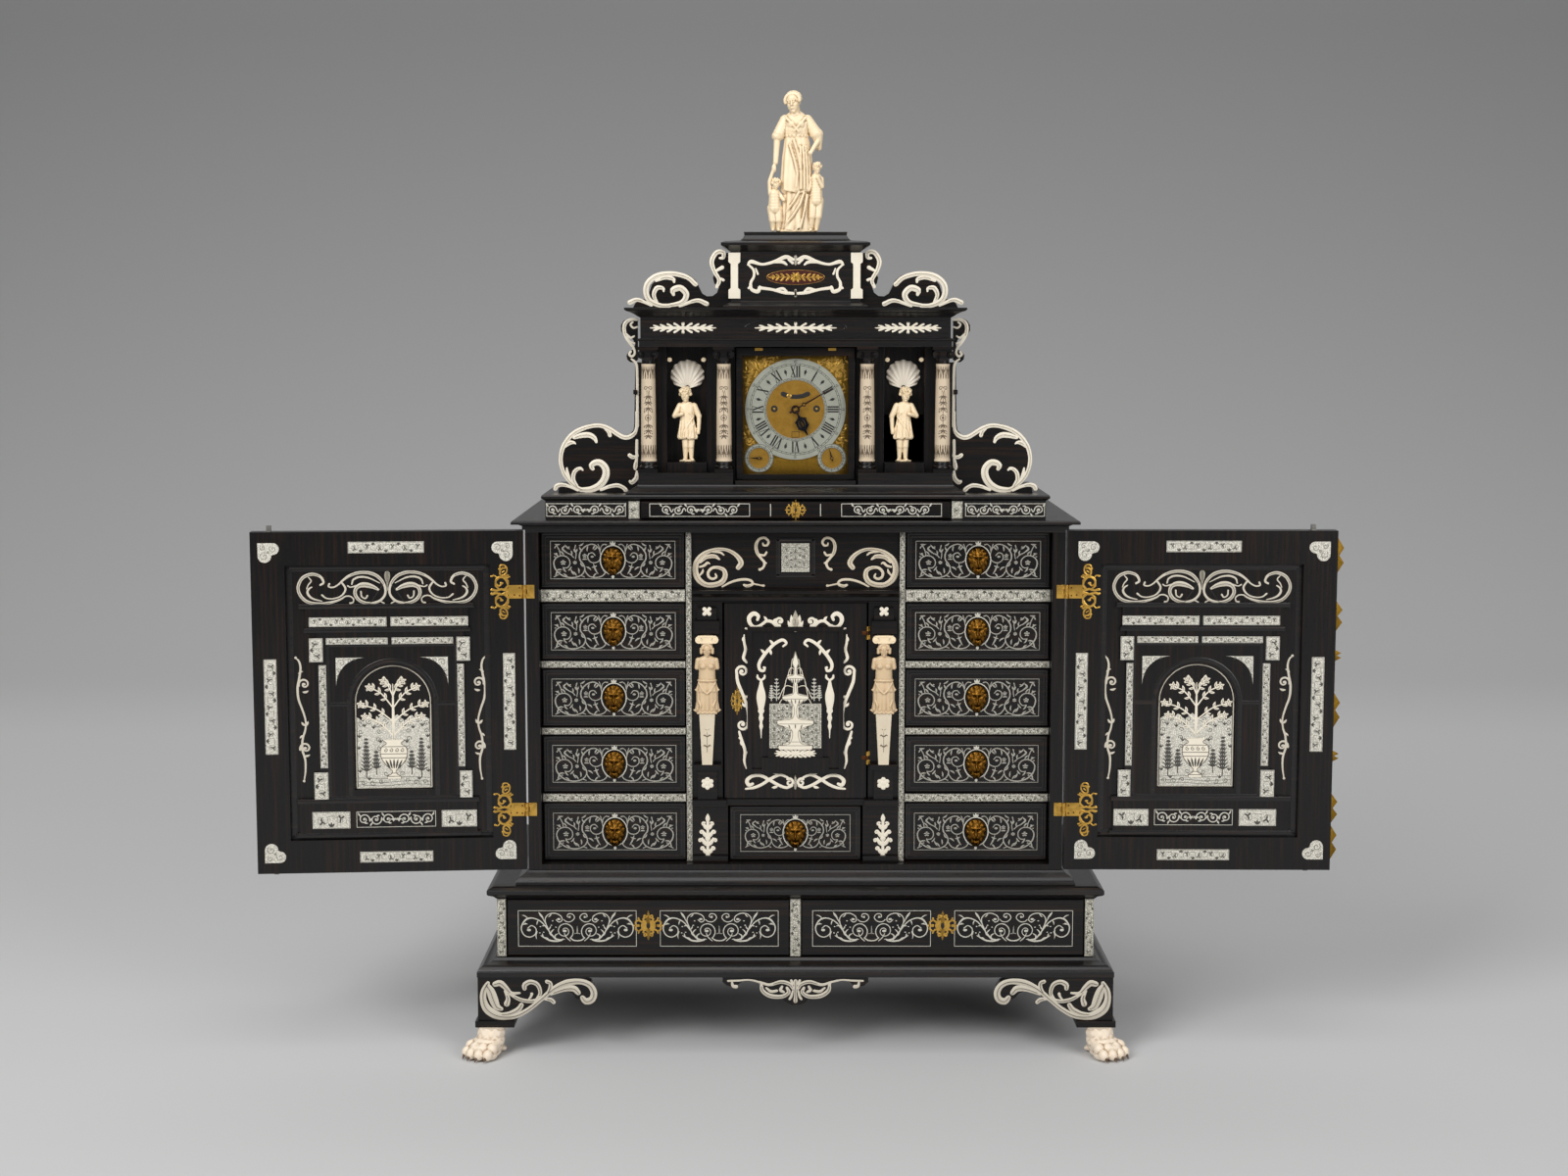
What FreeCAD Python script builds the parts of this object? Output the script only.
"""Collector's cabinet of ebony and ivory with a clock stage, its doors standing open.

Millimetres, +Z up, front towards -Y. Every piece is drawn with the front edge of the carcass
at y = 0 and moved to the origin, the bottom centre of the whole, when it is saved.
"""
import FreeCAD, Part
import math
import os
from FreeCAD import Vector

# Driving dimensions: the carcass and what stands under and over it
CARCASS_HALF = 412.0          # half the width over the carcass sides
CARCASS_DEPTH = 420.0
SIDE = 20.0                   # thickness of the carcass sides
BACK = 12.0                   # thickness of the back boards
ORIGIN_BEHIND_FRONT = 164.0   # the origin lies this far behind the carcass front edge
BASE_HALF = 460.0             # half the width of the two-drawer base
BASE_FRONT = -20.0            # its front stands forward of the carcass
BASE_BACK = 426.0

# Heights above the floor
Z_PAW = 44.0
Z_BLOCK = 54.0
Z_BRACKET = 122.0
Z_BASE = 147.0
Z_LID = 239.0
Z_STAND = 259.0
Z_CASE = 279.0
Z_CORNICE = 803.0
Z_TOP = 822.0
Z_STEP = 860.0
Z_STAGE = 874.0
Z_COLUMN = 892.0
Z_ENTABLATURE = 1084.0
Z_ATTIC = 1143.0
Z_CAP = 1258.0

# Drawers and the centre bay, set back from the carcass front edge
BAY_INNER = 168.5             # the drawer bays run from here to the carcass sides
BAY_OUTER = CARCASS_HALF - SIDE
EDGE_Y = 20.0                 # front edges of the partitions and shelves
DRAWER_Y = 22.0               # faces of the drawer fronts
DRAWER_DEPTH = 360.0
SLACK = 0.5                   # clearance round a drawer
CASE_FLOOR = Z_CASE + 9.0
SHELVES = [(381.5, 396.0), (487.0, 499.5), (591.0, 603.5), (693.5, 714.5)]
CENTRE_HALF = 159.5           # half the width between the two upright partitions
CENTRE_DOOR_HALF = 109.5
CENTRE_DOOR_Z = (387.5, 692.0)
CENTRE_DRAWER_HALF = 103.0
CENTRE_SHELF = (376.5, 386.5)
HERM_X = 136.0
HERM_BACK = 24.0

# Front doors, drawn flat open beside the carcass
DOOR_WIDTH = 410.4
DOOR_THICK = 25.0
DOOR_Z = (280.0, 806.0)
DOOR_FRAME = 51.0             # width of the stiles and rails
PANEL_SUNK = 9.0              # the field lies this far below the frame
HINGE_X = 413.5
HINGE_Y = -1.5
HINGE_HEIGHTS = (374.6, 712.5)
HINGE_HALF = 10.3             # half the height of a hinge
KNUCKLE_R = 3.5
KNUCKLE_HALF = 3.4            # half the height of the door's middle knuckle
PIN_R = 1.5
PIN_HIDDEN = 2.0              # a pin ends this far inside the outer knuckles
RUNNING = 0.06                # clearance of a turning or sliding fit
LEAF = 1.2                    # thickness of the gilt leaves
LEFT_SHORT_OF_FLAT = 4.48     # degrees by which each door stands short of flat open
RIGHT_SHORT_OF_FLAT = 0.69
BOLT_R = 3.5                  # half the thickness of a square bolt
BOLT_Y = 18.5
BOLT_LENGTH = 60.0
BOLT_THROW = 9.0
BOLT_FROM_HINGE = {"left": 384.0, "right": 376.0}

# Clock stage
STEP_HALF = 381.0
STEP_Y = (5.0, 305.0)
STEP_DRAWER_HALF = 236.0
STAGE_HALF = 236.0
STAGE_FRONT = 55.0            # face of the clock case behind the columns
STAGE_BACK = 280.0
COLUMN_Y = STAGE_FRONT - 15
COLUMNS_X = (-225.0, -109.5, 109.5, 225.0)
NICHE = (136.0, 198.0)        # inner and outer edge of a niche
NICHE_X = 167.0
NICHE_BACK = STAGE_FRONT + 34
CLOCK_Z = 988.0               # centre of the dial
DIAL_HALF = 81.0
DIAL_Z = (887.0, 1070.0)
DIAL_Y = STAGE_FRONT + 4
CHAPTER_R = (44.8, 77.6)
SUBDIAL = (56.0, 913.0)
SUBDIAL_R = (15.7, 22.5)
WINDING_X = 33.0
BEZEL_HALF = 90.5
BEZEL_Z = (881.0, 1082.0)
BEZEL_Y = (STAGE_FRONT - 14, STAGE_FRONT - 2)
BEZEL_HINGE = (STAGE_FRONT - 16, 1080.0)     # y and z of the flap's hinge line
GLASS_Y = (STAGE_FRONT - 11, STAGE_FRONT - 9)
PLATES_Y = (DIAL_Y + 12, DIAL_Y + 64)        # front faces of the two plates of the movement
MINUTE_ANGLE = 60.0           # degrees clockwise from twelve
HOUR_ANGLE = 155.0
ATTIC_HALF = 98.0
ATTIC_FRONT = STAGE_FRONT - 18
ATTIC_BACK = ATTIC_FRONT + 124
STATUE_Y = ATTIC_FRONT + 49


# Shapes used all over the cabinet
def box(x0, x1, y0, y1, z0, z1):
    return Part.makeBox(x1 - x0, y1 - y0, z1 - z0, Vector(x0, y0, z0))


def mirrored(shape):
    return shape.mirror(Vector(0, 0, 0), Vector(1, 0, 0))


def both_sides(shapes):
    return list(shapes) + [mirrored(shape) for shape in shapes]


def facet(corners):
    return Part.Face(Part.makePolygon(corners + corners[:1]))


def skinned(rings):
    """Closed solid through rings of corners, with flat facets between them."""
    faces = [facet(rings[0]), facet(rings[-1])]
    for low, high in zip(rings, rings[1:]):
        for k, a in enumerate(low):
            after = (k + 1) % len(low)
            b, c, d = low[after], high[after], high[k]
            if abs((b - a).cross(c - a).dot(d - a)) < 1e-6:
                faces.append(facet([a, b, c, d]))
            else:
                faces += [facet([a, b, c]), facet([a, c, d])]
    shell = Part.Shell(faces)
    shell.sewShape()
    solid = Part.Solid(shell)
    if solid.Volume < 0:
        solid.reverse()
    return solid


def oval(centre, across, up, sides):
    """Corners of a regular oval spanned by two half axes."""
    turns = [2 * math.pi * (k + 0.5) / sides for k in range(sides)]
    return [centre + across * math.cos(t) + up * math.sin(t) for t in turns]


def limb(start, end, r0, r1, sides=6):
    """Bar of many flats between two points, tapering from one radius to the other."""
    start, end = Vector(*start), Vector(*end)
    along = end - start
    level = Vector(0, 1, 0) if abs(along.y) < 0.9 * along.Length else Vector(0, 0, 1)
    across = along.cross(level).normalize()
    up = along.cross(across).normalize()
    return skinned([oval(start, across * r0, up * r0, sides), oval(end, across * r1, up * r1, sides)])


ROUND = 8                     # flats of a small round piece


def rod(radius, start, end, sides=ROUND):
    return limb(start, end, radius, radius, sides)


def pin(radius, start, end):
    """Round pin or arbor."""
    start, end = Vector(*start), Vector(*end)
    return Part.makeCylinder(radius, (end - start).Length, start, end - start)


def bore_for(radius):
    """Corner radius of a bore whose flats run clear of a pin of this radius."""
    return (radius + RUNNING) / math.cos(math.pi / ROUND)


def moulded(half, front, back, profile):
    """Block with a moulding round its front and sides; profile rows are (stands out, z)."""
    rings = []
    for out, z in profile:
        x, y = half + out, front - out
        rings.append([Vector(-x, y, z), Vector(x, y, z), Vector(x, back, z), Vector(-x, back, z)])
    return skinned(rings)


ARC_SAG = 0.8                 # how far a chord may leave its arc


def outline(start, *legs):
    """Closed XZ outline: a leg of two numbers is a line's end, of four an arc's middle and end."""
    def at(point):
        return Vector(point[0], 0, point[1])

    corners, here = [at(start)], start
    for leg in legs:
        if len(leg) == 4:
            arc = Part.Arc(at(here), at(leg[:2]), at(leg[2:])).toShape()
            corners += arc.discretize(Deflection=ARC_SAG)[1:]
        else:
            corners.append(at(leg))
        here = leg[-2:]
    return facet(corners)


def sawn(face, y0, y1):
    """Board sawn to an XZ outline."""
    face.translate(Vector(0, y0, 0))
    return face.extrude(Vector(0, y1 - y0, 0))


def disc(x, z, radius, y0, y1, sides=ROUND):
    return rod(radius, (x, y0, z), (x, y1, z), sides)


def ring(x, z, inner, outer, y0, y1, sides=ROUND):
    return disc(x, z, outer, y0, y1, sides).cut(disc(x, z, inner, y0 - 1, y1 + 1, sides))


def band(x, z, radius, width, start, end, y0, y1, step=45.0):
    """Flat curved ribbon round (x, z), from one angle in degrees to another."""
    count = max(2, round((end - start) / step))
    turns = [math.radians(start + (end - start) * k / count) for k in range(count + 1)]

    def edge(reach):
        return [Vector(x + reach * math.cos(t), y0, z + reach * math.sin(t)) for t in turns]

    return facet(edge(radius) + edge(radius - width)[::-1]).extrude(Vector(0, y1 - y0, 0))


def turned(x, y, profile, sides=10):
    """Turned piece on an upright axis; profile rows are (radius, z)."""
    return carved([(z, r, r, x, y) for r, z in profile], sides)


def carved(stations, sides=8):
    """Upright carved form through oval stations (z, half width, half depth, x, y)."""
    return skinned([oval(Vector(x, y, z), Vector(half_x, 0, 0), Vector(0, half_y, 0), sides)
                    for z, half_x, half_y, x, y in stations])


def relief(x, z, rows, sides):
    """Oval form standing out from a face; rows are (y, half width, half height)."""
    return skinned([oval(Vector(x, y, z), Vector(half_x, 0, 0), Vector(0, 0, half_z), sides)
                    for y, half_x, half_z in rows])


HEAD_ROWS = (-65, -22, 22, 65)   # latitudes in degrees
TOE_ROWS = (-60, 0, 60)


def egg(x, y, z, half_x, half_y, half_z, sides=8, latitudes=HEAD_ROWS):
    """Rounded carved form, for a head or a toe."""
    reach = math.sin(math.radians(latitudes[-1]))
    stations = []
    for latitude in latitudes:
        rise, girth = math.sin(math.radians(latitude)) / reach, math.cos(math.radians(latitude))
        stations.append((z + half_z * rise, half_x * girth, half_y * girth, x, y))
    return carved(stations, sides)


def joined(shapes):
    return shapes[0].multiFuse(shapes[1:]).removeSplitter()


def turned_about_hinge(shape, side, degrees):
    sign = -1 if side == "left" else 1
    shape.rotate(Vector(sign * HINGE_X, HINGE_Y, 0), Vector(0, 0, 1), degrees)
    return shape


def at_rest(shapes, side):
    """Takes door pieces drawn on the right, flat open, to the side and angle where they stand."""
    if side == "left":
        return [turned_about_hinge(mirrored(s), "left", LEFT_SHORT_OF_FLAT) for s in shapes]
    return [turned_about_hinge(s.copy(), "right", -RIGHT_SHORT_OF_FLAT) for s in shapes]


# Feet and base
PAW_X, PAW_Y, PAW_TURN = 466.0, -38.0, 30.0
REAR_PAW_Y, REAR_PAW_TURN = 384.0, 80.0
FOOT_FACE = 488.0             # outer face of the bracket feet
FOOT_FRONT = -48.0
FOOT_BOARD = 14.0


def paw(x, y, turn):
    """Lion's paw with four toes, pointing forward before it is turned outward."""
    pad = carved([(0, 21, 24, 0, -24), (8, 26, 30, 0, -24), (18, 25, 27, 0, -19),
                  (30, 20, 20, 0, -8), (Z_PAW, 20, 19, 0, 0)], 6)
    toes = [egg(across, -52 + abs(across) * 0.35, 10.5, 9.0, 13.0, 10.5, 5, TOE_ROWS)
            for across in (-21, -7, 7, 21)]
    foot = joined([pad] + toes)
    foot.rotate(Vector(), Vector(0, 0, 1), turn)
    foot.translate(Vector(x, y, 0))
    return foot


def paw_feet():
    return both_sides([paw(PAW_X, PAW_Y, PAW_TURN), paw(PAW_X, REAR_PAW_Y, REAR_PAW_TURN)])


def bracket_outline(corner):
    """Bracket drawn inward from its corner, ending in a volute."""
    foot_in, scroll = corner - 56, corner - 162
    return outline((corner, Z_BRACKET), (corner, Z_BLOCK), (foot_in, Z_BLOCK),
                   (foot_in - 28, 72, foot_in - 56, 94), (foot_in - 76, 101, scroll + 17, 97),
                   (scroll, 86, scroll - 17, 103), (scroll - 15, 113, scroll - 6, 119),
                   (scroll - 2, Z_BRACKET))


def bracket_feet():
    front = sawn(bracket_outline(FOOT_FACE), FOOT_FRONT, FOOT_FRONT + FOOT_BOARD)
    flat = sawn(bracket_outline(0), 0, FOOT_BOARD)
    side = flat.copy()
    side.rotate(Vector(), Vector(0, 0, 1), 90)
    side = side.mirror(Vector(), Vector(0, 1, 0))
    side.translate(Vector(FOOT_FACE, FOOT_FRONT, 0))
    side = side.cut(box(0, 600, FOOT_FRONT - 1, FOOT_FRONT + FOOT_BOARD, 0, 200))
    rear = flat.copy()
    rear.rotate(Vector(), Vector(0, 0, 1), 90)
    rear.translate(Vector(FOOT_FACE, BASE_BACK, 0))
    block = box(FOOT_FACE - 56, FOOT_FACE + 4, FOOT_FRONT - 4, FOOT_FRONT + 56, Z_PAW, Z_BLOCK)
    rear_block = box(FOOT_FACE - 56, FOOT_FACE + 4, BASE_BACK - 60, BASE_BACK, Z_PAW, Z_BLOCK)
    return both_sides([front, side, rear, block, rear_block])


def apron_drop():
    shape = outline((-112, Z_BRACKET), (-112, 115), (-98, 107, -84, 114), (-60, 118, -46, 104),
                    (-38, 96, -24, 93), (0, 78, 24, 93), (38, 96, 46, 104), (60, 118, 84, 114),
                    (98, 107, 112, 115), (112, Z_BRACKET))
    return [sawn(shape, FOOT_FRONT, FOOT_FRONT + FOOT_BOARD)]


def base_moulding():
    profile = [(29, Z_BRACKET), (29, 130), (27, 131), (25, 135), (20, 139), (12, 141), (7, 143),
               (4, Z_BASE)]
    return [moulded(BASE_HALF, BASE_FRONT, BASE_BACK, profile)]


BASE_SIDE = 14.0
BASE_POST = 8.0


def base_case():
    side = box(BASE_HALF - BASE_SIDE, BASE_HALF, BASE_FRONT, BASE_BACK, Z_BASE, Z_LID)
    inner = BASE_HALF - BASE_SIDE
    back = box(-inner, inner, BASE_BACK - BACK, BASE_BACK, Z_BASE, Z_LID)
    post = box(-BASE_POST, BASE_POST, BASE_FRONT, BASE_BACK - BACK, Z_BASE, Z_LID)
    return both_sides([side]) + [back, post]


def base_lid():
    lid = [(1, Z_LID), (5, 243), (12, 246), (14, 248), (14, 254), (9, 257), (4, Z_STAND)]
    foot = [(19, Z_STAND), (19, 263), (17, 267), (13, 271), (6, 275), (2, Z_CASE)]
    return [moulded(BASE_HALF, BASE_FRONT, BASE_BACK, lid),
            moulded(CARCASS_HALF, 0, CARCASS_DEPTH, foot)]


# Carcass
def hinge_notches(axis_x):
    """Hollows that let the hinge knuckles into the edges beside them."""
    reach = HINGE_HALF + 1
    return [rod(KNUCKLE_R + 0.5, (axis_x, HINGE_Y, z - reach), (axis_x, HINGE_Y, z + reach))
            for z in HINGE_HEIGHTS]


def carcass_case():
    side = box(BAY_OUTER, CARCASS_HALF, 0, CARCASS_DEPTH, Z_CASE, Z_CORNICE)
    for notch in hinge_notches(HINGE_X):
        side = side.cut(notch)
    floor = box(-BAY_OUTER, BAY_OUTER, 0, CARCASS_DEPTH - BACK, Z_CASE, CASE_FLOOR)
    back = box(-BAY_OUTER, BAY_OUTER, CARCASS_DEPTH - BACK, CARCASS_DEPTH, Z_CASE, Z_CORNICE)
    return both_sides([side]) + [floor, back]


def carcass_cornice():
    """Fascia course with the crown moulding laid on it."""
    fascia = [(0, Z_CORNICE), (0, 807), (4, 807.5), (4, 813)]
    crown = [(4, 813), (8, 815), (10, 816), (19.6, 816.4), (19.6, 820), (17.5, Z_TOP)]
    return [moulded(CARCASS_HALF, 0, CARCASS_DEPTH, course) for course in (fascia, crown)]


def partitions():
    inside = CARCASS_DEPTH - BACK
    boards = [box(CENTRE_HALF, BAY_INNER, EDGE_Y, inside, CASE_FLOOR, Z_CORNICE)]
    boards += [box(BAY_INNER, BAY_OUTER, EDGE_Y, inside, low, high) for low, high in SHELVES]
    low, high = SHELVES[-1]
    return both_sides(boards) + [box(-CENTRE_HALF, CENTRE_HALF, EDGE_Y, inside, *CENTRE_SHELF),
                                 box(-CENTRE_HALF, CENTRE_HALF, EDGE_Y, inside, low, high)]


INLAY = 1.2                   # thickness of the ivory strips


def ivory_strips():
    face = EDGE_Y - INLAY
    strips = [box(CENTRE_HALF + 0.5, BAY_INNER - 0.5, face, EDGE_Y, CASE_FLOOR + 1, Z_CORNICE - 1)]
    for low, high in SHELVES:
        strips.append(box(BAY_INNER + 1, BAY_OUTER - 1, face, EDGE_Y, low + 1.5, high - 1.5))
    front = BASE_FRONT - INLAY
    strips.append(box(BASE_HALF - BASE_SIDE + 0.5, BASE_HALF, front, BASE_FRONT, Z_BASE + 1, Z_LID - 1))
    post = box(-BASE_POST, BASE_POST, front, BASE_FRONT, Z_BASE + 1, Z_LID - 1)
    return both_sides(strips) + [post]


def centre_frame():
    low, high = CENTRE_DOOR_Z
    post_in = CENTRE_DOOR_HALF + 3
    upright = box(post_in, CENTRE_HALF, HERM_BACK, 38, CENTRE_SHELF[1], SHELVES[-1][0])
    pedestal = box(CENTRE_DRAWER_HALF + 1.5, CENTRE_HALF, EDGE_Y, 36, CASE_FLOOR, CENTRE_SHELF[0])
    foot = box(CENTRE_DRAWER_HALF + 1.5, CENTRE_HALF, 13, EDGE_Y, CASE_FLOOR, CASE_FLOOR + 10)
    cap = box(post_in - 6, CENTRE_HALF, 11, EDGE_Y, CENTRE_SHELF[0], CENTRE_SHELF[1])
    lower_block = box(HERM_X - 15, HERM_X + 15, 15, HERM_BACK, CENTRE_SHELF[1], 434)
    ledge = box(HERM_X - 21, HERM_X + 21, 9, HERM_BACK, 434, 442.5)
    upper_block = box(HERM_X - 15, HERM_X + 15, 15, HERM_BACK, 666, low + 298)
    abacus = box(HERM_X - 19, HERM_X + 19, 8, HERM_BACK, 646.5, 666)
    pediment = box(-CENTRE_HALF, CENTRE_HALF, 27, 38, SHELVES[-1][1], Z_CORNICE)
    crown = [(EDGE_Y, 695), (14, 697), (14, 702), (9, 706), (6, 709), (6, 713), (EDGE_Y, 713)]
    cornice = facet([Vector(-CENTRE_HALF, y, z) for y, z in crown]).extrude(Vector(2 * CENTRE_HALF, 0, 0))
    blocks = [upright, pedestal, foot, cap, lower_block, ledge, upper_block, abacus]
    return both_sides(blocks) + [pediment, cornice]


def herm_figures():
    """Half-length figures on tapering pillars, under Ionic caps."""
    x, y = HERM_X, 14.0
    pillar = carved([(442.5, 8, 6, x, y), (524, 12, 7, x, y)], 4)
    body = carved([(524, 20, 8, x, y), (530, 17.5, 8, x, y), (557, 15.5, 8.5, x, y), (575, 13, 8, x, y),
                   (592, 17, 9, x, y), (603, 18.5, 7.5, x, y), (609, 6, 5.5, x, y), (616, 5, 5, x, y)], 6)
    head = egg(x, y, 623, 8.5, 8.5, 11.5)
    slab = box(x - 16, x + 16, y - 9, HERM_BACK, 634, 646.5)
    curls = [rod(5, (x + side * 15, y - 9, 636.5), (x + side * 15, HERM_BACK, 636.5)) for side in (-1, 1)]
    return both_sides([joined([pillar, body, head, slab] + curls)])


# Drawers
def lion_mask(x, z, y):
    """Oval mask pull standing out from a drawer front."""
    return relief(x, z, [(y, 15.5, 19.5), (y - 7, 14, 18), (y - 13.5, 5.5, 7)], 8)


def drawer_box(x0, x1, y, depth, z0, z1, front=12.0, side=8.0):
    """Front, two sides, back and bottom, each its own board."""
    face = box(x0, x1, y, y + front, z0, z1)
    edges = [e for e in face.Edges if abs(e.CenterOfMass.y - y) < 1e-6]
    face = face.makeChamfer(2.0, edges)
    low, inner, end = z0 + 6, y + front, y + depth
    left = box(x0, x0 + side, inner, end, z0, z1 - 6)
    right = box(x1 - side, x1, inner, end, z0, z1 - 6)
    back = box(x0 + side, x1 - side, end - side, end, z0, z1 - 6)
    bottom = box(x0 + side, x1 - side, inner, end - side, z0, low)
    return [face, left, right, back, bottom]


def small_drawer(x0, x1, z0, z1):
    boards = drawer_box(x0 + SLACK, x1 - SLACK, DRAWER_Y, DRAWER_DEPTH, z0 + SLACK, z1 - SLACK)
    return boards + [lion_mask((x0 + x1) / 2, (z0 + z1) / 2, DRAWER_Y)]


def drawer_rows():
    """Bottom and top of each drawer bay, lowest first."""
    floors = [CASE_FLOOR] + [high for low, high in SHELVES]
    tops = [low for low, high in SHELVES] + [Z_CORNICE]
    return list(zip(floors, tops))


def escutcheon(x, z, y):
    """Lobed lock plate with a keyhole."""
    lobed = outline((x - 5, z + 7), (x, z + 13, x + 5, z + 7), (x + 7, z + 5), (x + 16, z, x + 7, z - 5),
                    (x + 5, z - 7), (x, z - 13, x - 5, z - 7), (x - 7, z - 5), (x - 16, z, x - 7, z + 5))
    keyhole = outline((x - 1, z - 4), (x + 1, z - 4), (x + 1, z + 1), (x, z + 4, x - 1, z + 1))
    return sawn(lobed, y - LEAF, y).cut(sawn(keyhole, y - 2, y + 1))


def base_drawer(side):
    x0, x1 = BASE_POST + SLACK, BASE_HALF - BASE_SIDE - SLACK
    boards = drawer_box(x0, x1, BASE_FRONT, 400, Z_BASE + 1, Z_LID - 1)
    boards.append(escutcheon((x0 + x1) / 2, 196, BASE_FRONT))
    return boards if side == "right" else [mirrored(b) for b in boards]


def plinth_drawer():
    boards = drawer_box(-STEP_DRAWER_HALF, STEP_DRAWER_HALF, STEP_Y[0] - 3, 240, Z_TOP + 1, 850.5)
    return boards + [escutcheon(0, 837, STEP_Y[0] - 3)]


# Doors
def door_x(from_hinge):
    return HINGE_X + 1.5 + from_hinge


def arch_board():
    """Arcade board of the door's sunk field, pierced by a round-headed opening."""
    middle, half, foot, spring = door_x(201.3), 59.5, 408.0, 542.0
    y0, y1 = 3.0, PANEL_SUNK
    hole = outline((middle - half, foot), (middle + half, foot), (middle + half, spring),
                   (middle, spring + half, middle - half, spring))
    return box(door_x(92), door_x(314), y0, y1, 388, 655).cut(sawn(hole, y0 - 1, y1 + 1))


def bolt_bar(x, half, z0, z1):
    return box(x - half, x + half, BOLT_Y - half, BOLT_Y + half, z0, z1)


def door_leaf(side):
    """Frame, sunk panel and the architectural relief on the inner face."""
    low, high = DOOR_Z
    hinge_edge, free_edge = door_x(0), door_x(DOOR_WIDTH)
    stile_in, stile_out = door_x(DOOR_FRAME), door_x(DOOR_WIDTH - DOOR_FRAME)
    hinge_stile = box(hinge_edge, stile_in, 0, DOOR_THICK, low, high)
    for notch in hinge_notches(HINGE_X):
        hinge_stile = hinge_stile.cut(notch)
    free_stile = box(stile_out, free_edge, 0, DOOR_THICK, low, high)
    bolt_x = door_x(BOLT_FROM_HINGE[side])
    slot = BOLT_LENGTH + BOLT_THROW + 2
    for z0, z1 in ((high - slot, high + 1), (low - 1, low + slot)):
        free_stile = free_stile.cut(bolt_bar(bolt_x, BOLT_R + RUNNING, z0, z1))
    rails = [box(stile_in, stile_out, 0, DOOR_THICK, high - DOOR_FRAME, high),
             box(stile_in, stile_out, 0, DOOR_THICK, low, low + DOOR_FRAME)]
    panel = box(stile_in, stile_out, PANEL_SUNK, DOOR_THICK - 5, low + DOOR_FRAME, high - DOOR_FRAME)
    plinth = box(door_x(75), door_x(345), 2, PANEL_SUNK, 340, 388)
    entablature = box(door_x(85), door_x(330), 2, PANEL_SUNK, 655, 690)
    return at_rest([hinge_stile, free_stile] + rails + [panel, plinth, arch_board(), entablature], side)


def knuckle(z0, z1):
    return rod(KNUCKLE_R, (HINGE_X, HINGE_Y, z0), (HINGE_X, HINGE_Y, z1))


def clear_of_knuckle(leaf, z0, z1):
    reach = KNUCKLE_R + 0.5
    return leaf.cut(box(HINGE_X - reach, HINGE_X + reach, -LEAF - 1, 1, z0, z1))


def door_hinges(side):
    """Gilt door leaves, each with its middle knuckle and a pierced scroll end."""
    leaves = []
    for z in HINGE_HEIGHTS:
        leaf = box(HINGE_X + 1, door_x(23), -LEAF, 0, z - HINGE_HALF, z + HINGE_HALF)
        for z0, z1 in ((z - 20, z - KNUCKLE_HALF), (z + KNUCKLE_HALF, z + 20)):
            leaf = clear_of_knuckle(leaf, z0, z1)
        scrolls = []
        for up in (-1, 1):
            scrolls.append(ring(door_x(33), z + up * 13, 8.5, 11.5, -LEAF, 0))
            hook = band(door_x(29), z + 30, 8.5, 3, -150, 110, -LEAF, 0)
            scrolls.append(hook if up > 0 else hook.mirror(Vector(0, 0, z), Vector(0, 0, 1)))
        bore = rod(bore_for(PIN_R), (HINGE_X, HINGE_Y, z - 20), (HINGE_X, HINGE_Y, z + 20))
        leaves.append(joined([leaf, knuckle(z - KNUCKLE_HALF, z + KNUCKLE_HALF)] + scrolls).cut(bore))
    return at_rest(leaves, side)


def hinge_leaves():
    """Leaves on the carcass edge, each with its pin and outer knuckles, and the inner door's."""
    leaves = []
    for z in HINGE_HEIGHTS:
        leaf = box(398.5, HINGE_X - 1, -LEAF, 0, z - HINGE_HALF, z + HINGE_HALF)
        gap = KNUCKLE_HALF + 0.2
        leaf = clear_of_knuckle(leaf, z - gap, z + gap)
        ends = [knuckle(z - HINGE_HALF, z - gap), knuckle(z + gap, z + HINGE_HALF)]
        reach = HINGE_HALF - PIN_HIDDEN
        ends.append(pin(PIN_R, (HINGE_X, HINGE_Y, z - reach), (HINGE_X, HINGE_Y, z + reach)))
        leaves.append(joined([leaf] + ends))
    return both_sides(leaves) + [butt_half(z, fixed=True) for z in CENTRE_HINGES]


def door_bolt(side, top):
    x, length = door_x(BOLT_FROM_HINGE[side]), BOLT_LENGTH
    if top:
        start, end = DOOR_Z[1] + BOLT_THROW - 0.5 - length, DOOR_Z[1] + BOLT_THROW - 0.5
    else:
        start, end = DOOR_Z[0] - 4.5, DOOR_Z[0] - 4.5 + length
    return at_rest([bolt_bar(x, BOLT_R, start, end)], side)


MOUNT_HEIGHTS = [(318, 28), (372, 24), (454, 9), (526, 28), (611, 9), (672, 24), (766, 28)]


def edge_mounts():
    """Gilt mounts on the outer face of the right door, lapping over the meeting edge."""
    y0, lap, y1 = DOOR_THICK, DOOR_THICK + 0.5, DOOR_THICK + 2.0
    mounts = []
    tip = door_x(DOOR_WIDTH)
    for z, half in MOUNT_HEIGHTS:
        held = box(tip - 14, tip, y0, y1, z - half * 0.6, z + half * 0.6)
        shape = outline((tip - 3, z - half * 0.6), (tip + 5, z - half), (tip + 15, z - half * 0.4),
                        (tip + 8, z), (tip + 15, z + half * 0.4), (tip + 5, z + half),
                        (tip - 3, z + half * 0.6))
        mounts.append(joined([held, sawn(shape, lap, y1)]))
    return at_rest(mounts, "right")


# Inner door and its butt hinges
CENTRE_HINGES = (451.0, 646.0)
BUTT_X, BUTT_Y, BUTT_HALF = 111.5, 21.0, 10.0
BUTT_R, BUTT_PIN_R = 2.4, 1.0


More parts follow.
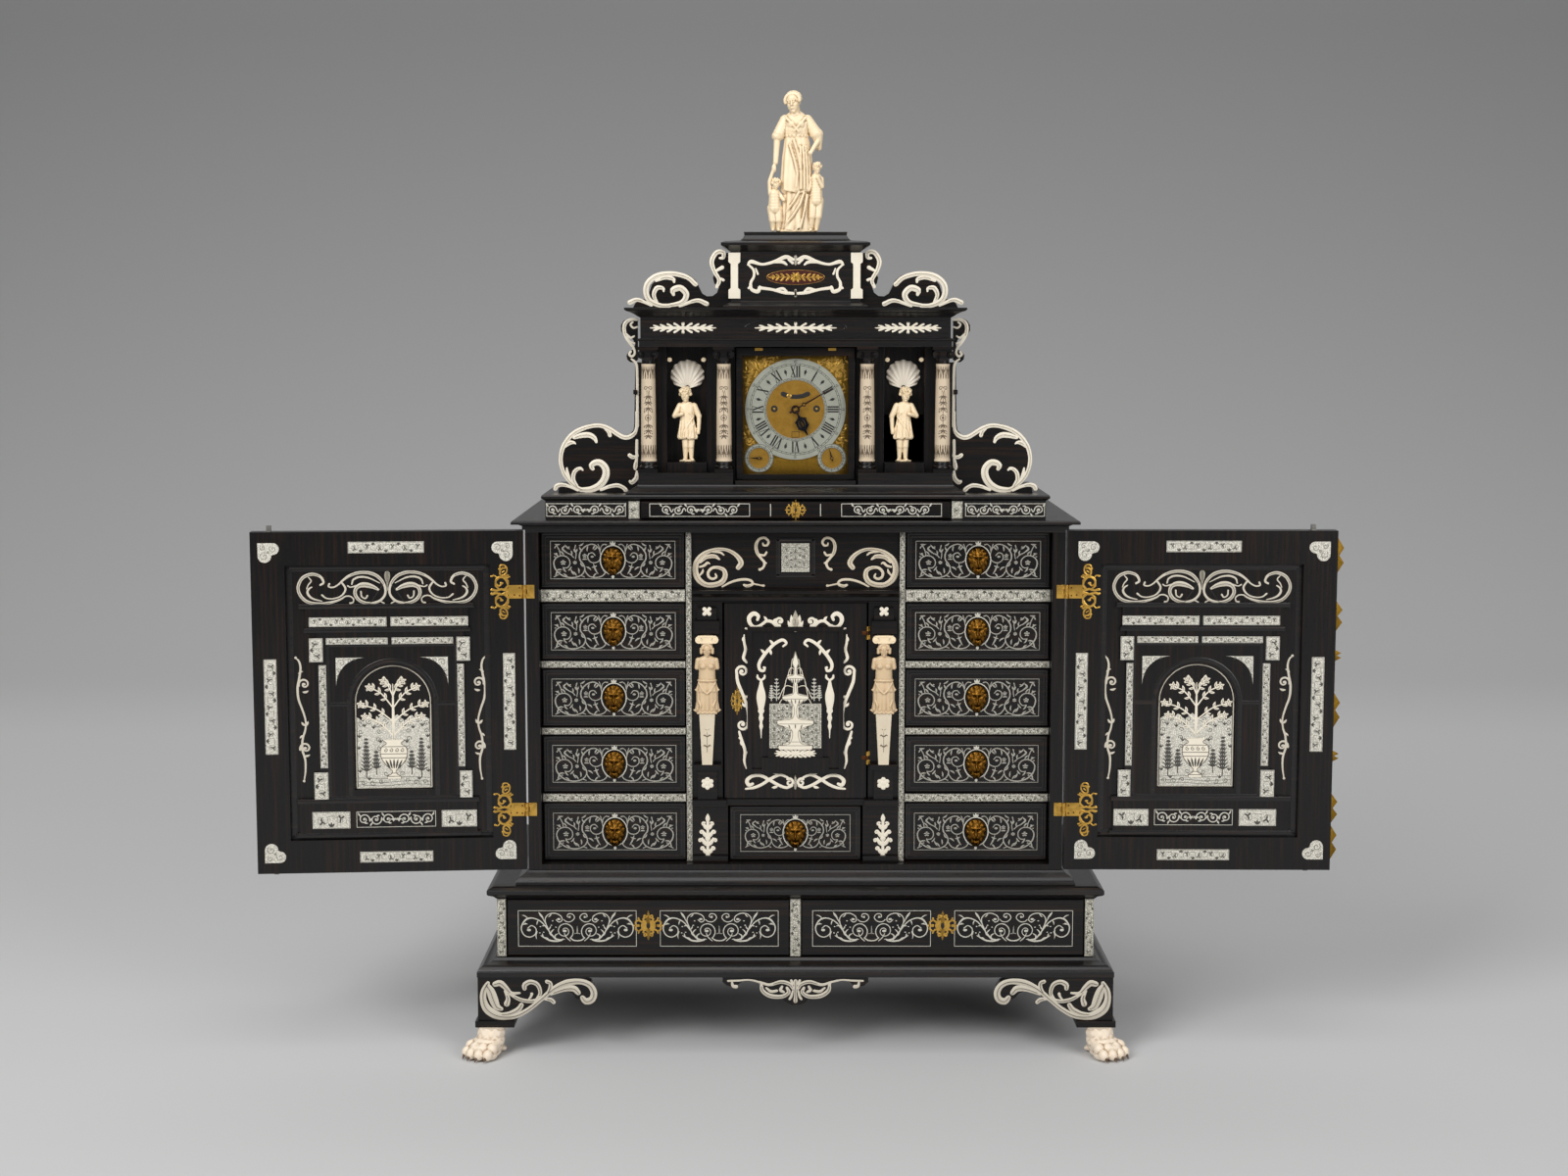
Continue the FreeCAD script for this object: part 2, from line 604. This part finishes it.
def butt_half(z, fixed):
    """One half of a small butt hinge: outer knuckles and pin on the frame, middle one on the door."""
    def upright(radius, z0, z1):
        return rod(radius, (BUTT_X, BUTT_Y, z0), (BUTT_X, BUTT_Y, z1))

    if not fixed:
        tab = box(CENTRE_DOOR_HALF - 7, BUTT_X - 1, DRAWER_Y - LEAF, DRAWER_Y, z - 3, z + 3)
        return joined([upright(BUTT_R, z - 3, z + 3), tab]).cut(upright(bore_for(BUTT_PIN_R), z - 9, z + 9))
    reach = BUTT_HALF - PIN_HIDDEN
    pieces = [pin(BUTT_PIN_R, (BUTT_X, BUTT_Y, z - reach), (BUTT_X, BUTT_Y, z + reach))]
    for z0, z1 in ((z - BUTT_HALF, z - 3.2), (z + 3.2, z + BUTT_HALF)):
        pieces.append(upright(BUTT_R, z0, z1))
        pieces.append(box(BUTT_X + 0.5, BUTT_X + 3.4, HERM_BACK - LEAF, HERM_BACK, z0, z1))
    return joined(pieces)


def frame_strips(half, low, high, width, y0, y1):
    """Raised rectangular moulding as four strips."""
    return [box(-half, half, y0, y1, high - width, high), box(-half, half, y0, y1, low, low + width),
            box(-half, -half + width, y0, y1, low + width, high - width),
            box(half - width, half, y0, y1, low + width, high - width)]


def centre_door():
    low, high = CENTRE_DOOR_Z
    slab = box(-CENTRE_DOOR_HALF, CENTRE_DOOR_HALF, DRAWER_Y, 38, low, high)
    reach = BUTT_HALF + 1
    for z in CENTRE_HINGES:
        slab = slab.cut(rod(BUTT_R + 0.4, (BUTT_X, BUTT_Y, z - reach), (BUTT_X, BUTT_Y, z + reach)))
    field = frame_strips(74, 427, 656, 7, DRAWER_Y - 5, DRAWER_Y)
    tablet = box(-42, 42, DRAWER_Y - 4, DRAWER_Y, 452, 528)
    plinth = box(-52, 52, DRAWER_Y - 5, DRAWER_Y, 434, 452)
    return [slab] + field + [tablet, plinth]


def centre_door_fittings():
    plate = escutcheon(-90, 540, DRAWER_Y)
    return [butt_half(z, fixed=False) for z in CENTRE_HINGES] + [plate]


# Clock stage
def clock_plinth():
    y0, y1 = STEP_Y
    cheek = STEP_DRAWER_HALF + 1
    top = moulded(STEP_HALF, y0, y1, [(0, 851), (3, 853), (6, 855), (6, 858), (4.5, Z_STEP)])
    end = box(STEP_HALF - 14, STEP_HALF, y0, y1, Z_TOP, 851)
    face = box(cheek + 17, STEP_HALF - 14, y0, y0 + 12, Z_TOP, 851)
    post = box(cheek, cheek + 17, y0, y1 - BACK, Z_TOP, 851)
    back = box(14 - STEP_HALF, STEP_HALF - 14, y1 - BACK, y1, Z_TOP, 851)
    return both_sides([end, face, post]) + [back, top]


def stage_base():
    foot = [(23, Z_STEP), (23, 863), (18, 866), (11, 869), (7, 872), (6, Z_STAGE)]
    slab = moulded(STAGE_HALF, COLUMN_Y - 10, STAGE_BACK, foot)
    pedestal = box(95.5, STAGE_HALF + 4, COLUMN_Y - 16, STAGE_FRONT, Z_STAGE, Z_COLUMN)
    sill = box(-92, 92, COLUMN_Y - 13, STAGE_FRONT, Z_STAGE, 880)
    return [slab, sill] + both_sides([pedestal])


def clock_case():
    inner, outer = NICHE
    face = STAGE_FRONT
    pier_out = box(outer, STAGE_HALF, face, face + 12, Z_STAGE, Z_ENTABLATURE)
    pier_in = box(92, inner, face, face + 12, Z_STAGE, Z_ENTABLATURE)
    cheek_out = box(outer, outer + 6, face + 12, NICHE_BACK + 6, Z_STAGE, Z_ENTABLATURE)
    cheek_in = box(inner - 6, inner, face + 12, NICHE_BACK + 6, Z_STAGE, Z_ENTABLATURE)
    niche_back = box(inner, outer, NICHE_BACK, NICHE_BACK + 6, Z_STAGE, Z_ENTABLATURE)
    stand = box(inner + 1, outer - 1, face - 10, NICHE_BACK, Z_COLUMN, 907)
    stand_foot = box(inner, outer, face, NICHE_BACK, Z_STAGE, Z_COLUMN)
    side = box(STAGE_HALF - 14, STAGE_HALF, face + 12, STAGE_BACK, Z_STAGE, Z_ENTABLATURE)
    back = box(14 - STAGE_HALF, STAGE_HALF - 14, STAGE_BACK - BACK, STAGE_BACK, Z_STAGE, Z_ENTABLATURE)
    return both_sides([pier_out, pier_in, cheek_out, cheek_in, niche_back, stand, stand_foot, side]) + [back]


def columns():
    shaft = [(12.2, 909), (12.2, 912), (11.6, 914), (11.6, 960), (10.2, 1058)]
    return [turned(x, COLUMN_Y, shaft) for x in COLUMNS_X]


def column_capitals():
    """Turned bases, and Ionic capitals with a volute roll at either side."""
    pieces = []
    for x in COLUMNS_X:
        pieces.append(box(x - 14, x + 14, COLUMN_Y - 14, COLUMN_Y + 14, Z_COLUMN, 898))
        pieces.append(turned(x, COLUMN_Y, [(13.8, 898), (13.8, 902), (12, 904.5), (12.4, 909)], ROUND))
        pieces.append(turned(x, COLUMN_Y, [(10.2, 1058), (11.2, 1061), (10, 1066)], ROUND))
        abacus = box(x - 16, x + 16, COLUMN_Y - 15, STAGE_FRONT, 1078, Z_ENTABLATURE)
        cushion = box(x - 10.5, x + 10.5, COLUMN_Y - 12, COLUMN_Y + 12, 1066, 1078)
        rolls = [rod(6, (x + side * 10.5, COLUMN_Y - 13, 1072), (x + side * 10.5, COLUMN_Y + 13, 1072))
                 for side in (-1, 1)]
        pieces.append(joined([abacus, cushion] + rolls))
    return pieces


def entablature():
    profile = [(2, Z_ENTABLATURE), (2, 1092), (5, 1094), (5, 1096), (0, 1097), (0, 1128), (4, 1130),
               (8, 1133), (14, 1136), (20, 1138), (23, 1140), (23, Z_ATTIC)]
    return [moulded(STAGE_HALF, COLUMN_Y - 13, STAGE_BACK + 4, profile)]


def attic():
    profile = [(12, Z_ATTIC), (12, 1146), (7, 1149), (0, 1153), (0, 1227), (4, 1230), (9, 1234),
               (15, 1237), (15, 1241), (10, 1243), (-14, 1245), (-18, 1249), (-20, 1253), (-19, Z_CAP)]
    return [moulded(ATTIC_HALF, ATTIC_FRONT, ATTIC_BACK, profile)]


SCROLL_Y = (STAGE_FRONT + 2, STAGE_FRONT + 16)
UPPER_SCROLL_Y = (STAGE_FRONT - 10, STAGE_FRONT + 4)


def scroll_brackets():
    """Sawn boards beside the clock case and the attic, with leafy and volute ends."""
    x0 = STAGE_HALF
    lower = outline((x0, Z_STEP), (366, Z_STEP), (362, 871, 348, 872), (364.6, 910, 348, 950),
                    (308.6, 966, 280, 958), (262, 947, 248, 966), (246, 1060), (x0, 1060))
    crest = outline((242, 1064), (258, 1064, 256, 1076), (246, 1086, 256, 1098), (268, 1112, 256, 1127),
                    (242, 1127))
    x0 = ATTIC_HALF
    upper = outline((x0, Z_ATTIC), (248, Z_ATTIC), (240, 1154, 222, 1153), (213, 1186, 186, 1194),
                    (158, 1190, 146, 1172), (131, 1160, 117, 1174), (126, 1186, 122, 1197),
                    (128, 1218, 112, 1226), (x0, 1226))
    lower_board = sawn(lower, *SCROLL_Y).cut(stage_base()[0])
    upper_board = sawn(upper, *UPPER_SCROLL_Y).cut(attic()[0])
    return both_sides([lower_board, sawn(crest, *SCROLL_Y).cut(entablature()[0]), upper_board])


def ivory_scrolls():
    """Ivory ribbons that edge the scroll boards and end in volutes."""
    y0, y1 = SCROLL_Y[0] - 3, SCROLL_Y[0]
    lower = [band(308.6, 910, 56, 6, -38, 118, y0, y1), band(296, 884, 20, 7, -170, 110, y0, y1),
             band(264, 962, 17, 6, 200, 330, y0, y1), box(240, 246, y0, y1, 975, 1058)]
    crest = [band(254, 1114, 12, 4, -100, 200, y0, y1)]
    y0, y1 = UPPER_SCROLL_Y[0] - 3, UPPER_SCROLL_Y[0]
    upper = [band(186, 1163, 31, 6, 15, 165, y0, y1), band(178, 1160, 15, 5, -170, 100, y0, y1),
             band(113, 1214, 11, 4, -80, 150, y0, y1)]
    return both_sides(lower + crest + upper)


# Figures
def child(x, y, foot, height, lean):
    """Small standing figure: two legs, a tunic and a head, with its arms bent to the front."""
    unit = height / 114.0

    def up(value):
        return foot + value * unit

    mid = x + lean
    legs = []
    arms = []
    for side in (-1, 1):
        hip, shoulder = side * 6 * unit, side * 15 * unit
        legs.append(limb((x + hip, y, foot), (x + hip, y, up(40)), 4 * unit, 6 * unit))
        elbow = (mid + side * 19 * unit, y - 3 * unit, up(66))
        arms.append(limb((mid + shoulder, y, up(85)), elbow, 5 * unit, 4 * unit))
    body = carved([(up(36), 14 * unit, 11 * unit, x, y), (up(58), 12 * unit, 10 * unit, mid, y),
                   (up(72), 11 * unit, 9 * unit, mid, y), (up(86), 15 * unit, 9 * unit, mid, y),
                   (up(91), 6 * unit, 6 * unit, mid, y)], 6)
    head = egg(mid, y - 1, up(102), 9.5 * unit, 10 * unit, 12 * unit, 6)
    return joined([body, head] + legs + arms)


def niche_figures():
    """A child before each niche, with the scallop shell above it."""
    pieces = []
    for sign in (-1, 1):
        x = sign * NICHE_X
        pieces.append(child(x, STAGE_FRONT + 12, 907, 114, -sign * 2))
        shell = [(NICHE_BACK, 26, 23), (NICHE_BACK - 5, 26, 23), (NICHE_BACK - 9, 17, 15)]
        pieces.append(relief(x, 1040, shell, 12))
    return pieces


def statue():
    """Draped woman with a child at either side."""
    y, foot = STATUE_Y, Z_CAP + 3
    ground = box(-34, 36, y - 20, y + 20, Z_CAP, foot)
    gown = carved([(foot, 22, 18, 0, y), (1300, 22, 17, 0, y), (1325, 23, 17, 3, y), (1365, 22, 16, 4, y),
                   (1398, 18, 13, 2, y), (1416, 21, 14, 2, y), (1430, 27, 11, 4, y), (1437, 10, 9, 3, y),
                   (1446, 6.5, 7, 2, y)], 8)
    head = egg(1, y - 2, 1457, 12, 14, 16)
    arms = [limb((-22, y, 1428), (-31, y - 2, 1380), 8, 6),
            limb((-31, y - 2, 1380), (-31, y - 6, 1352), 6, 4),
            limb((31, y, 1426), (38, y - 4, 1388), 9, 8),
            limb((38, y - 4, 1388), (20, y - 15, 1374), 6, 4)]
    woman = joined([gown, head] + arms)
    children = [child(-31, y - 3, foot, 82, 2), child(33, y - 3, foot, 98, 2)]
    return [joined([ground, woman] + children)]


# Clock
def clock_hand(angle, length, width, y, boss):
    """Flat hand pointing at an angle clockwise from twelve, on a round boss."""
    blade = outline((-width / 2, 0), (width / 2, 0), (width, length * 0.55), (width * 0.3, length * 0.68),
                    (0, length), (-width * 0.3, length * 0.68), (-width, length * 0.55))
    hand = joined([sawn(blade, y, y + 1), disc(0, 0, boss, y, y + 1)])
    hand.rotate(Vector(), Vector(0, 1, 0), angle)
    return hand


def placed(shape, x, z):
    shape.translate(Vector(x, 0, z))
    return shape


MINUTE_Y, HOUR_Y, SUBHAND_Y = DIAL_Y - 10.4, DIAL_Y - 7.8, DIAL_Y - 5.4
ARBOR_R, PIPE_R, SUBARBOR_R = 1.6, 3.0, 1.2
ARBOR_END = DIAL_Y + 10


def minute_hand():
    hand = joined([clock_hand(MINUTE_ANGLE, 66, 3, MINUTE_Y, 5), pin(ARBOR_R, (0, MINUTE_Y, 0), (0, ARBOR_END, 0))])
    return [placed(hand, 0, CLOCK_Z)]


def hour_hand():
    """Hour hand on the pipe that turns round the minute arbor."""
    pipe = pin(PIPE_R, (0, HOUR_Y, 0), (0, ARBOR_END - 4, 0))
    bore = disc(0, 0, bore_for(ARBOR_R), HOUR_Y - 1, ARBOR_END)
    hand = joined([clock_hand(HOUR_ANGLE, 42, 6, HOUR_Y, 6), pipe]).cut(bore)
    return [placed(hand, 0, CLOCK_Z)]


def subdial_hand(side, angle):
    x, z = SUBDIAL
    arbor = pin(SUBARBOR_R, (0, SUBHAND_Y, 0), (0, DIAL_Y + 5, 0))
    return [placed(joined([clock_hand(angle, 13, 1.6, SUBHAND_Y, 2.6), arbor]), side * x, z)]


def dial_plate():
    plate = box(-DIAL_HALF, DIAL_HALF, DIAL_Y, DIAL_Y + 3, *DIAL_Z)
    holes = [(0, CLOCK_Z, bore_for(PIPE_R))] + [(s * WINDING_X, CLOCK_Z, 4.0) for s in (-1, 1)]
    holes += [(s * SUBDIAL[0], SUBDIAL[1], bore_for(SUBARBOR_R)) for s in (-1, 1)]
    for x, z, radius in holes:
        plate = plate.cut(disc(x, z, radius, DIAL_Y - 1, DIAL_Y + 4))
    feet = [disc(s * 48, z, 3, DIAL_Y + 3, PLATES_Y[0]) for s in (-1, 1) for z in (900, 1048)]
    return [plate] + feet


def chapter_ring():
    face = DIAL_Y - 1.8
    chapters = ring(0, CLOCK_Z, *CHAPTER_R, face, DIAL_Y, 28)
    x, z = SUBDIAL
    small = [ring(side * x, z, *SUBDIAL_R, face, DIAL_Y, 12) for side in (-1, 1)]
    for side in (-1, 1):
        chapters = chapters.cut(disc(side * x, z, SUBDIAL_R[1] + 0.2, face - 1, DIAL_Y + 1, 12))
    return [chapters] + small


def clock_movement():
    """Two plates on pillars with the going and striking barrels, their wheels and a bell."""
    front, rear = PLATES_Y
    seat = box(-80, 80, front - 2, rear + 6, Z_STAGE, 884)
    plates = [box(-54, 54, y, y + 2.5, 884, 1062) for y in (front, rear)]
    pillars = [rod(4, (s * 46, front + 2.5, z), (s * 46, rear, z), 6) for s in (-1, 1) for z in (895, 1052)]
    barrels = []
    for s in (-1, 1):
        x = s * WINDING_X
        barrel = disc(x, CLOCK_Z, 20, front + 6, rear - 8)
        wheel = disc(x, CLOCK_Z, 27, rear - 8, rear - 6)
        arbor = disc(x, CLOCK_Z, 3, front + 2.5, rear)
        square = disc(x, CLOCK_Z, 3, DIAL_Y, front, 4)
        barrels += [joined([arbor, barrel, wheel]), square]
    bell = turned(0, rear + 38, [(34, 1010), (33, 1020), (27, 1034), (14, 1043), (3, 1046), (3, 1052)], ROUND)
    bell_arm = box(-5, 5, rear + 2.5, rear + 48, 1052, 1056)
    return [seat] + plates + pillars + barrels + [bell, bell_arm]


def clock_bezel():
    """Glazed flap over the dial, with the hinge knuckles along its top edge."""
    low, high = BEZEL_Z
    y0, y1 = BEZEL_Y
    stile = box(DIAL_HALF, BEZEL_HALF, y0, y1, low, high)
    rails = [box(-DIAL_HALF, DIAL_HALF, y0, y1, high - 12, high),
             box(-DIAL_HALF, DIAL_HALF, y0, y1, low, low + 8)]
    y, z = BEZEL_HINGE
    knuckle_roll = joined([pin(2, (50, y, z), (62, y, z)), box(50, 62, y, y0, z - 1.5, z + 0.5)])
    return both_sides([stile, knuckle_roll]) + rails


def clock_glass():
    return [box(-DIAL_HALF, DIAL_HALF, *GLASS_Y, BEZEL_Z[0] + 8, BEZEL_Z[1] - 12)]


def save(node, solids):
    """Moves a node's solids to the origin of the whole and writes them."""
    shape = Part.makeCompound(solids) if len(solids) > 1 else solids[0]
    shape.translate(Vector(0, -ORIGIN_BEHIND_FRONT, 0))
    shape.exportStep(f"parts/{node}.step")


def nodes():
    single = [paw_feet, bracket_feet, apron_drop, base_moulding, base_case, base_lid, carcass_case,
              carcass_cornice, partitions, ivory_strips, centre_frame, herm_figures, hinge_leaves,
              clock_plinth, stage_base, clock_case, columns, column_capitals, entablature, attic,
              scroll_brackets, ivory_scrolls, statue, niche_figures, dial_plate, chapter_ring, clock_movement,
              centre_door, centre_door_fittings, plinth_drawer, minute_hand, hour_hand, clock_bezel,
              clock_glass, edge_mounts]
    made = {make.__name__: make() for make in single}
    for side, sign in (("left", -1), ("right", 1)):
        made[f"{side}_door"] = door_leaf(side)
        made[f"{side}_door_hinges"] = door_hinges(side)
        made[f"{side}_top_bolt"] = door_bolt(side, top=True)
        made[f"{side}_bottom_bolt"] = door_bolt(side, top=False)
        made[f"{side}_base_drawer"] = base_drawer(side)
        made[f"{side}_subdial_hand"] = subdial_hand(sign, -85 if side == "left" else -25)
        for row, (low, high) in enumerate(drawer_rows(), start=1):
            bay = sorted((sign * BAY_INNER, sign * BAY_OUTER))
            made[f"{side}_drawer_{row}"] = small_drawer(*bay, low, high)
    half = CENTRE_DRAWER_HALF
    made["centre_drawer"] = small_drawer(-half, half, CASE_FLOOR, CENTRE_SHELF[0])
    return made


os.makedirs("parts", exist_ok=True)
for node, solids in nodes().items():
    save(node, solids)
